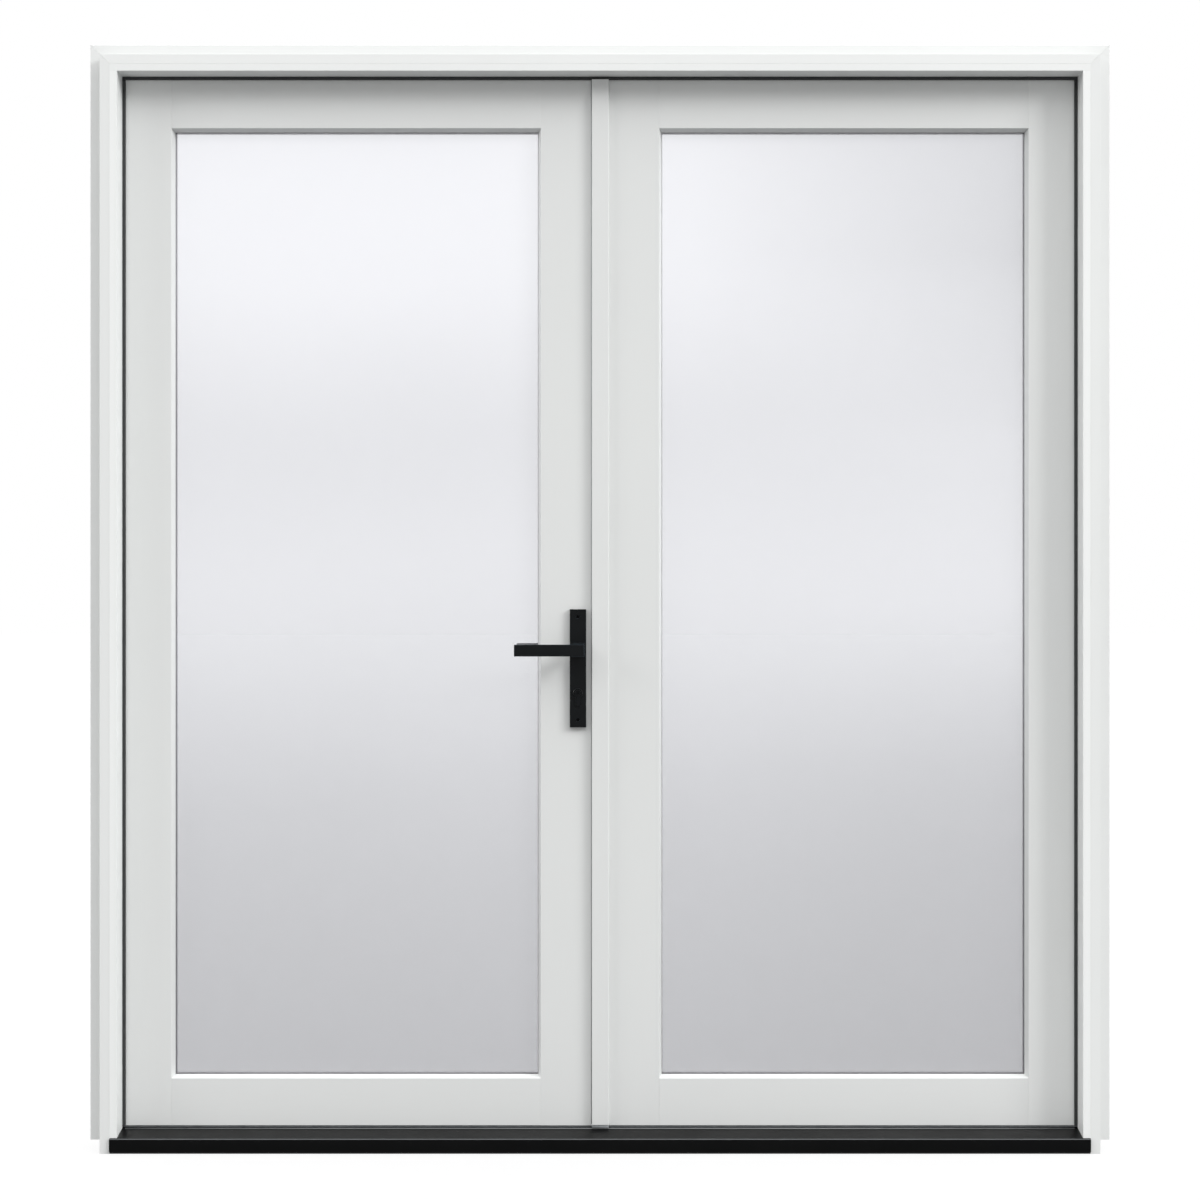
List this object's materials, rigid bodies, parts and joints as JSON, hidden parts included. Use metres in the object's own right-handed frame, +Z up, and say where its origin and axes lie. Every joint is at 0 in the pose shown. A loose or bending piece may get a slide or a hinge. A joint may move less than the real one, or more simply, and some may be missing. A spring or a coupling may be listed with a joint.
{
  "type": "french doors",
  "caption": "Pair of in-swinging glazed doors hung in a white frame with nailing fins and a dark sill, closed by a lever lock and a meeting post.",
  "frame": {"origin": "middle of the frame's underside, in the plane of the closed leaves' outside face", "axes": "+Z up, +Y towards the inside of the building, +X to the right seen from outside"},
  "size_m": [1.868, 0.1505, 2.024],
  "materials": {
    "frame_paint": "white satin paint",
    "cladding_white": "white satin coating",
    "leaf_paint": "white satin paint",
    "astragal_paint": "white satin paint",
    "sill_metal": "dark anodised",
    "sill_composite": "dark matt",
    "seal_rubber": "matt",
    "glass": "clear",
    "spacer_metal": "matt",
    "hinge_black": "satin black",
    "handle_black": "satin black powder coat",
    "lock_steel": "zinc plated"
  },
  "bodies": {
    "frame": {"jamb_left": "frame_paint", "jamb_right": "frame_paint", "head_jamb": "frame_paint", "cladding_left": "cladding_white", "cladding_right": "cladding_white", "cladding_head": "cladding_white", "sill_core": "sill_composite", "sill_pan": "sill_metal", "weatherstrip_left": "seal_rubber", "weatherstrip_right": "seal_rubber", "weatherstrip_head": "seal_rubber", "frame_hinge_plates": "hinge_black", "hinge_pins": "hinge_black", "bolt_keeps": "lock_steel"},
    "active_leaf": {"active_hinge_stile": "leaf_paint", "active_lock_stile": "leaf_paint", "active_top_rail": "leaf_paint", "active_bottom_rail": "leaf_paint", "active_outer_pane": "glass", "active_inner_pane": "glass", "active_spacer": "spacer_metal", "active_hinge_bead": "leaf_paint", "active_lock_bead": "leaf_paint", "active_top_bead": "leaf_paint", "active_bottom_bead": "leaf_paint", "active_sweep": "seal_rubber", "active_hinge_plates": "hinge_black", "lock_case": "lock_steel", "outer_plate": "handle_black", "inner_plate": "handle_black", "plate_screws": "lock_steel", "lock_cylinder": "handle_black"},
    "passive_leaf": {"passive_hinge_stile": "leaf_paint", "passive_lock_stile": "leaf_paint", "passive_top_rail": "leaf_paint", "passive_bottom_rail": "leaf_paint", "passive_outer_pane": "glass", "passive_inner_pane": "glass", "passive_spacer": "spacer_metal", "passive_hinge_bead": "leaf_paint", "passive_lock_bead": "leaf_paint", "passive_top_bead": "leaf_paint", "passive_bottom_bead": "leaf_paint", "passive_sweep": "seal_rubber", "passive_hinge_plates": "hinge_black", "astragal": "astragal_paint", "astragal_seal": "seal_rubber", "astragal_pad": "seal_rubber", "strike_plate": "lock_steel"},
    "lever": {"outer_lever": "handle_black", "inner_lever": "handle_black", "lever_spindle": "lock_steel", "lock_hub": "lock_steel"},
    "latch": {"latch_bolt": "lock_steel"},
    "dead_bolt_slide": {"dead_bolt": "lock_steel"},
    "key_turn": {"cylinder_plug": "lock_steel", "thumb_turn": "handle_black"},
    "top_bolt": {"top_flush_bolt": "lock_steel"},
    "bottom_bolt": {"bottom_flush_bolt": "lock_steel"}
  },
  "joints": [
    {"name": "active_swing", "type": "hinge", "parent": "frame", "child": "active_leaf", "pos_m": [-0.892, 0.051, 1], "axis": [0, 0, 1], "range_deg": [0, 100]},
    {"name": "passive_swing", "type": "hinge", "parent": "frame", "child": "passive_leaf", "pos_m": [0.892, 0.051, 1], "axis": [0, 0, 1], "range_deg": [-95, 0]},
    {"name": "lever_turn", "type": "hinge", "parent": "active_leaf", "child": "lever", "pos_m": [-0.0405, 0.02225, 0.915], "axis": [0, 1, 0], "range_deg": [-45, 45], "stiffness_Nm_per_rad": 4, "springref_deg": 3.15},
    {"name": "latch_slide", "type": "slide", "parent": "active_leaf", "child": "latch", "axis": [1, 0, 0], "range_m": [-0.012, 0.012]},
    {"name": "key_rotation", "type": "hinge", "parent": "active_leaf", "child": "key_turn", "pos_m": [-0.0405, 0.02225, 0.836], "axis": [0, 1, 0], "range_deg": [0, 90]},
    {"name": "dead_bolt_throw", "type": "slide", "parent": "active_leaf", "child": "dead_bolt_slide", "axis": [1, 0, 0], "range_m": [0, 0.02]},
    {"name": "top_bolt_throw", "type": "slide", "parent": "passive_leaf", "child": "top_bolt", "axis": [0, 0, 1], "range_m": [0, 0.015]},
    {"name": "bottom_bolt_throw", "type": "slide", "parent": "passive_leaf", "child": "bottom_bolt", "axis": [0, 0, -1], "range_m": [0, 0.015]}
  ],
  "couplings": [
    {"joint": "passive_swing", "follows": "active_swing", "ratio": -0.95},
    {"joint": "latch_slide", "follows": "lever_turn", "m_per_rad": 0.01527},
    {"joint": "key_rotation", "follows": "dead_bolt_throw", "rad_per_m": 78.53}
  ]
}
